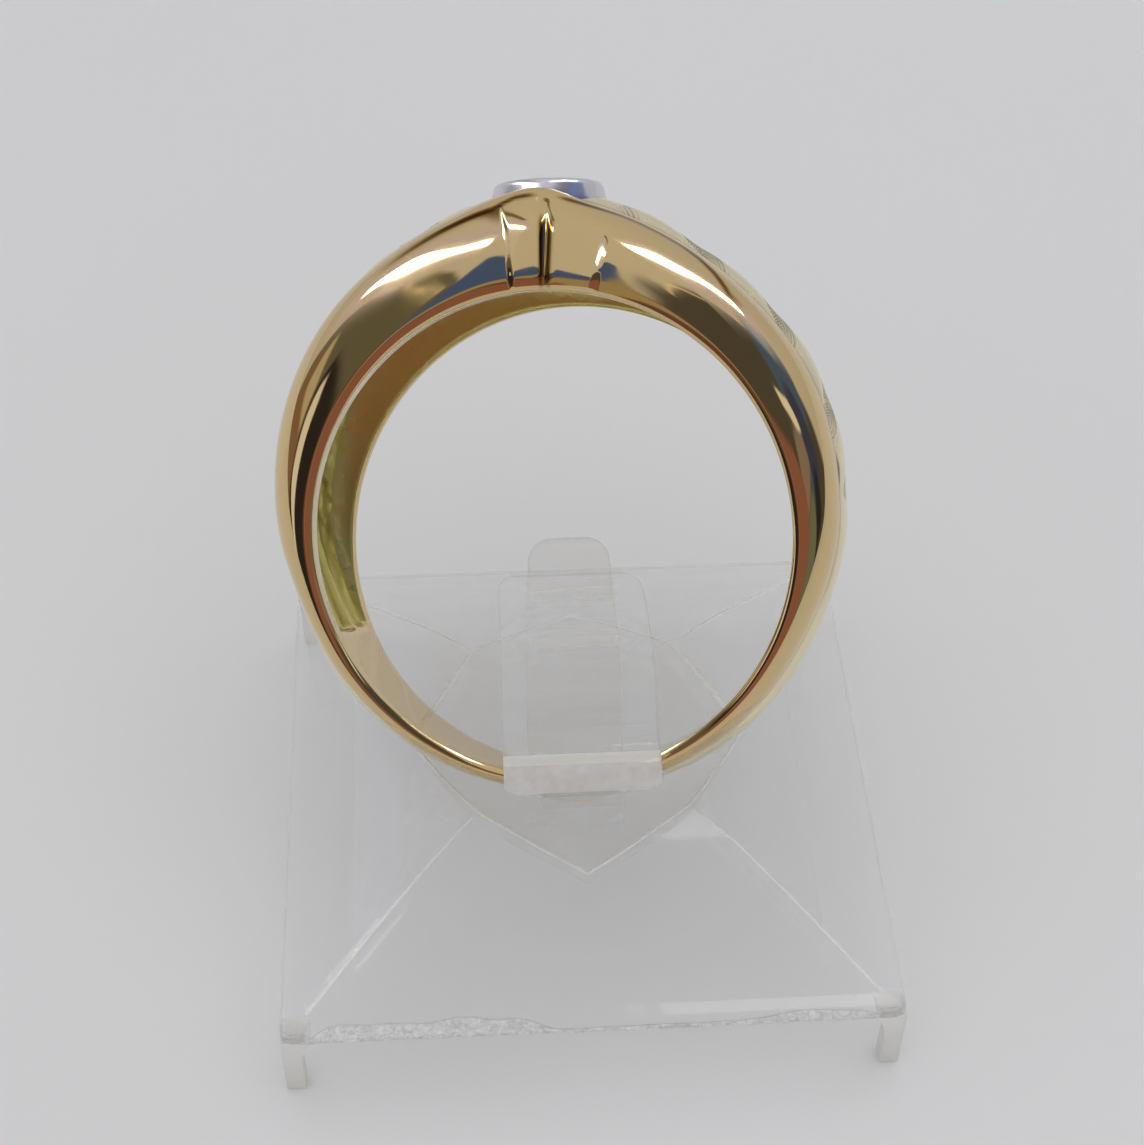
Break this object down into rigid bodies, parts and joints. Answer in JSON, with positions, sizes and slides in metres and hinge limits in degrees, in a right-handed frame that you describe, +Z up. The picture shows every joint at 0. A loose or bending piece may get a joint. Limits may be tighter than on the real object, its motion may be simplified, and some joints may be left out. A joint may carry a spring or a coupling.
{
  "type": "band ring and clip stand",
  "caption": "Gold ring of soldered bands, polished outside and ribbed in the middle, with a white collet and a small stone, held up in a clear square clip stand.",
  "frame": {"origin": "on the floor, under the middle of the whole object's bounding box", "axes": "+X to the viewer's right, +Y away from the viewer, +Z up; the base's sides run along X and Y"},
  "size_m": [0.0226, 0.0256, 0.024],
  "materials": {
    "gold": "polished yellow gold",
    "white_metal": "polished white gold",
    "stone": "cut and polished, colourless",
    "clear_plastic": "moulded clear plastic"
  },
  "bodies": {
    "root": {"ring_body": "gold", "setting": "white_metal", "stone": "stone", "stand": "clear_plastic"}
  },
  "joints": []
}
